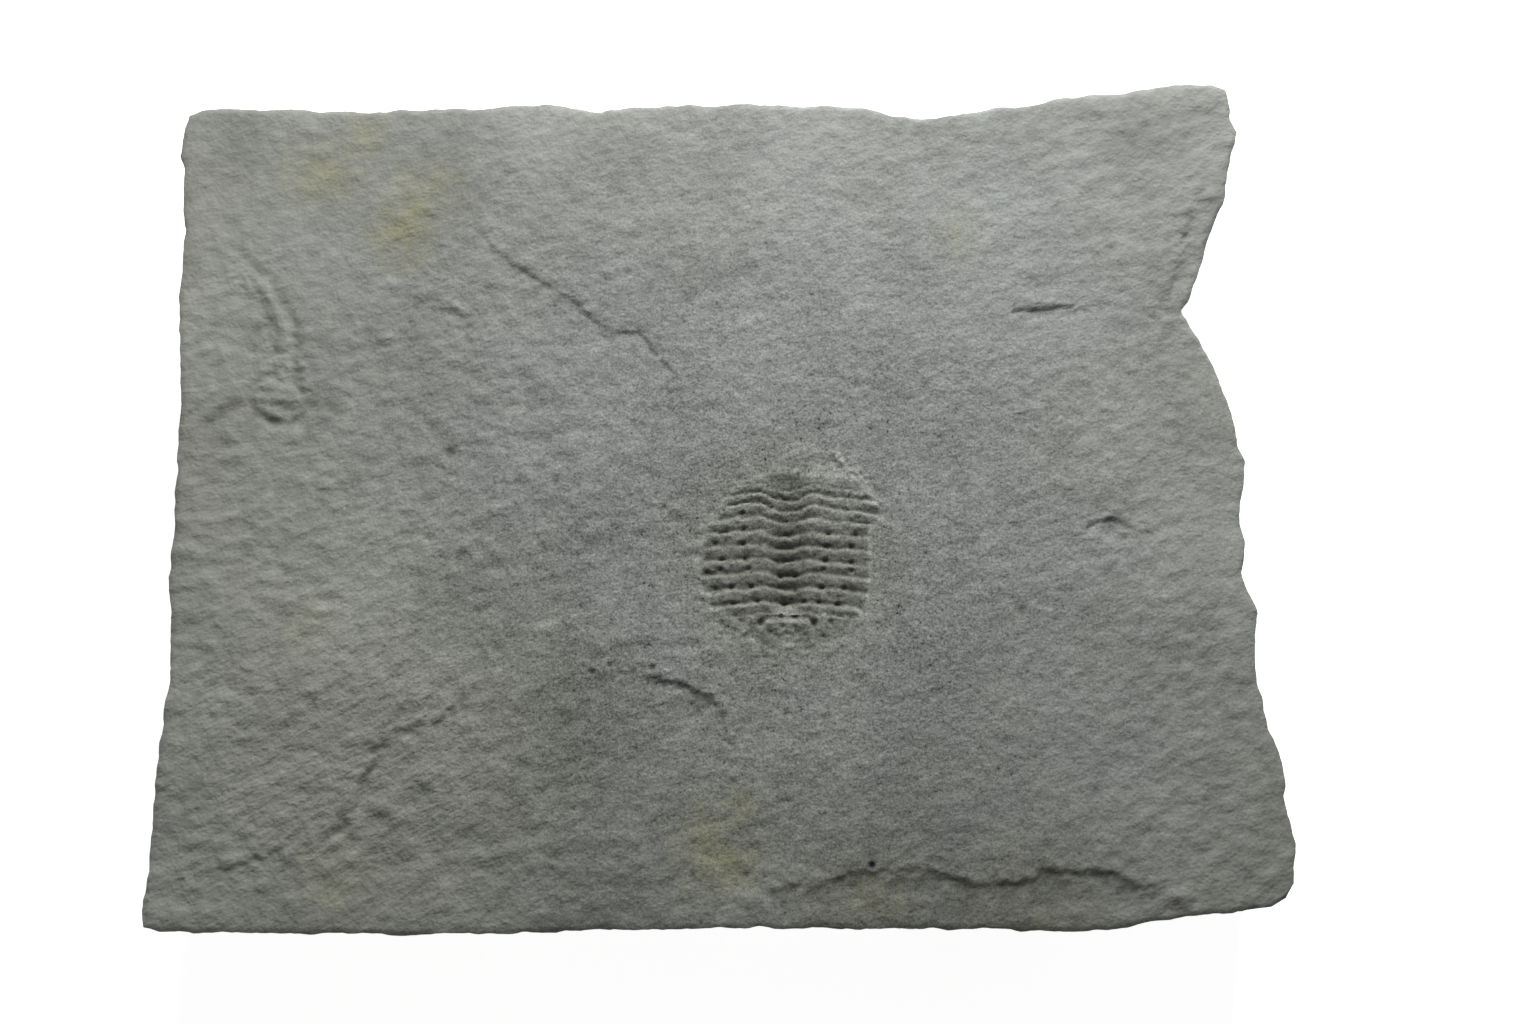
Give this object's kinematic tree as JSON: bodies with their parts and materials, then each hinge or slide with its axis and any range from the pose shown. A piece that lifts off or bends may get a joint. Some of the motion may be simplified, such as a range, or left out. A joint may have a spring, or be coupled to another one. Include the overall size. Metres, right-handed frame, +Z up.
{
  "type": "trilobite fossil",
  "caption": "Flat slab of grey siltstone with the ribbed mould of a trilobite's thorax and tail, low broken laminae, and a small stemmed fossil near one edge.",
  "frame": {"origin": "middle of the flat underside, below the middle of the slab's bounding box", "axes": "+Z up, out of the fossil face; +X along the long side, with the notched edge at +X; +Y the way the trilobite's head end points"},
  "size_m": [0.1128, 0.0872, 0.0146],
  "materials": {
    "siltstone": "dull, fine-grained, natural break"
  },
  "bodies": {
    "root": {"fossil_slab": "siltstone"}
  },
  "joints": []
}
